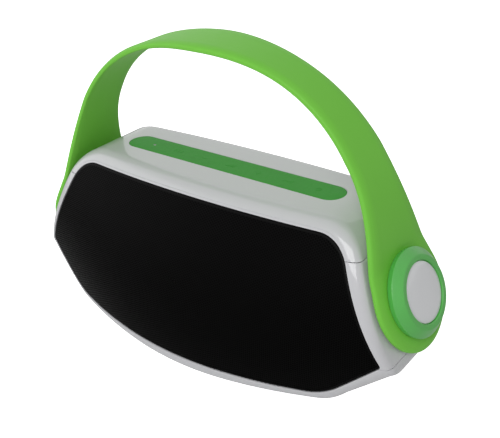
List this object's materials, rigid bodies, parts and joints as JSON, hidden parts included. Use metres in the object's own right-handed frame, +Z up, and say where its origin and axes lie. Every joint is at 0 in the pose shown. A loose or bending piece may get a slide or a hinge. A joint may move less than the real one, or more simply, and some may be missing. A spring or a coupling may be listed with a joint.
{
  "type": "portable splash-proof speaker",
  "caption": "Portable splash-proof speaker with a wedge-shaped white body, domed black grille, flush green keypad and an arched green strap handle on round hubs.",
  "frame": {"origin": "on the floor under the middle of the whole speaker", "axes": "+Z up, the grille faces -Y, +X to the right seen from the front"},
  "size_m": [0.3032, 0.116, 0.2002],
  "materials": {
    "white_shell": "glossy moulded white plastic",
    "strap_rubber": "satin moulded green rubber",
    "hub_green": "semi-gloss moulded green plastic",
    "keypad_rubber": "matt moulded green rubber",
    "grille_metal": "black powder-coated perforated sheet",
    "black_plastic": "matt moulded black plastic",
    "dark_rubber": "matt dark grey rubber",
    "bright_steel": "zinc-plated steel",
    "dark_steel": "dark coated steel",
    "cone_paper": "matt coated cone",
    "circuit_board": "green circuit board",
    "battery_wrap": "blue shrink wrap",
    "clear_lens": "clear light pipe"
  },
  "bodies": {
    "speaker": {"baffle_screw_1": "bright_steel", "baffle_screw_2": "bright_steel", "baffle_screw_3": "bright_steel", "baffle_screw_4": "bright_steel", "battery_pack": "battery_wrap", "bottom_shell": "white_shell", "charge_socket": "bright_steel", "driver_basket_left": "dark_steel", "driver_basket_right": "dark_steel", "driver_magnet_left": "dark_steel", "driver_magnet_right": "dark_steel", "driver_surround_left": "dark_rubber", "driver_surround_right": "dark_rubber", "end_cap_left": "white_shell", "end_cap_right": "white_shell", "foot_back_left": "dark_rubber", "foot_back_right": "dark_rubber", "foot_front_left": "dark_rubber", "foot_front_right": "dark_rubber", "front_baffle": "black_plastic", "front_grille": "grille_metal", "keypad_board": "circuit_board", "keypad_strip": "keypad_rubber", "line_in_socket": "black_plastic", "main_board": "circuit_board", "pivot_nut_left": "dark_steel", "pivot_nut_right": "dark_steel", "pivot_pin_left": "bright_steel", "pivot_pin_right": "bright_steel", "port_board": "circuit_board", "rear_panel": "white_shell", "rear_screw_1": "bright_steel", "rear_screw_2": "bright_steel", "rear_screw_3": "bright_steel", "rear_screw_4": "bright_steel", "rear_screw_5": "bright_steel", "rear_screw_6": "bright_steel", "status_lens": "clear_lens", "top_shell": "white_shell"},
    "strap": {"strap_band": "strap_rubber"},
    "strap_left": {"strap_end_left": "strap_rubber", "hub_cap_left": "hub_green", "hub_badge_left": "white_shell"},
    "cone_left": {"driver_cone_left": "cone_paper"},
    "strap_right": {"strap_end_right": "strap_rubber", "hub_cap_right": "hub_green", "hub_badge_right": "white_shell"},
    "cone_right": {"driver_cone_right": "cone_paper"},
    "key_minus": {"key_minus": "keypad_rubber"},
    "key_next": {"key_next": "keypad_rubber"},
    "key_play": {"key_play": "keypad_rubber"},
    "key_plus": {"key_plus": "keypad_rubber"},
    "key_power": {"key_power": "keypad_rubber"},
    "key_previous": {"key_previous": "keypad_rubber"},
    "port_cover": {"port_cover": "dark_rubber"}
  },
  "joints": [
    {"name": "handle_swing", "type": "hinge", "parent": "speaker", "child": "strap", "pos_m": [0, 0.00808, 0.0699], "axis": [1, 0, 0], "range_deg": [-25, 25]},
    {"name": "strap_right_twist", "type": "hinge", "parent": "strap", "child": "strap_right", "pos_m": [0.136, 0.00808, 0.0699], "axis": [-0.3907, 0, 0.9205], "range_deg": [-11, 11]},
    {"name": "strap_left_twist", "type": "hinge", "parent": "strap", "child": "strap_left", "pos_m": [-0.136, 0.00808, 0.0699], "axis": [0.3907, 0, 0.9205], "range_deg": [-11, 11]},
    {"name": "key_minus_press", "type": "slide", "parent": "speaker", "child": "key_minus", "axis": [0, 0, -1], "range_m": [0, 0.0006], "stiffness_N_per_m": 2000},
    {"name": "key_next_press", "type": "slide", "parent": "speaker", "child": "key_next", "axis": [0, 0, -1], "range_m": [0, 0.0006], "stiffness_N_per_m": 2000},
    {"name": "key_play_press", "type": "slide", "parent": "speaker", "child": "key_play", "axis": [0, 0, -1], "range_m": [0, 0.0006], "stiffness_N_per_m": 2000},
    {"name": "key_plus_press", "type": "slide", "parent": "speaker", "child": "key_plus", "axis": [0, 0, -1], "range_m": [0, 0.0006], "stiffness_N_per_m": 2000},
    {"name": "key_power_press", "type": "slide", "parent": "speaker", "child": "key_power", "axis": [0, 0, -1], "range_m": [0, 0.0006], "stiffness_N_per_m": 2000},
    {"name": "key_previous_press", "type": "slide", "parent": "speaker", "child": "key_previous", "axis": [0, 0, -1], "range_m": [0, 0.0006], "stiffness_N_per_m": 2000},
    {"name": "port_cover_hinge", "type": "hinge", "parent": "speaker", "child": "port_cover", "pos_m": [0, 0.05347, 0.03595], "axis": [-1, 0, 0], "range_deg": [0, 100]},
    {"name": "cone_left_stroke", "type": "slide", "parent": "speaker", "child": "cone_left", "axis": [0, -0.9877, 0.1564], "range_m": [-0.0015, 0.0015], "stiffness_N_per_m": 1500},
    {"name": "cone_right_stroke", "type": "slide", "parent": "speaker", "child": "cone_right", "axis": [0, -0.9877, 0.1564], "range_m": [-0.0015, 0.0015], "stiffness_N_per_m": 1500}
  ],
  "couplings": [
    {"joint": "strap_right_twist", "follows": "handle_swing", "ratio": 0.39},
    {"joint": "strap_left_twist", "follows": "handle_swing", "ratio": -0.39}
  ]
}
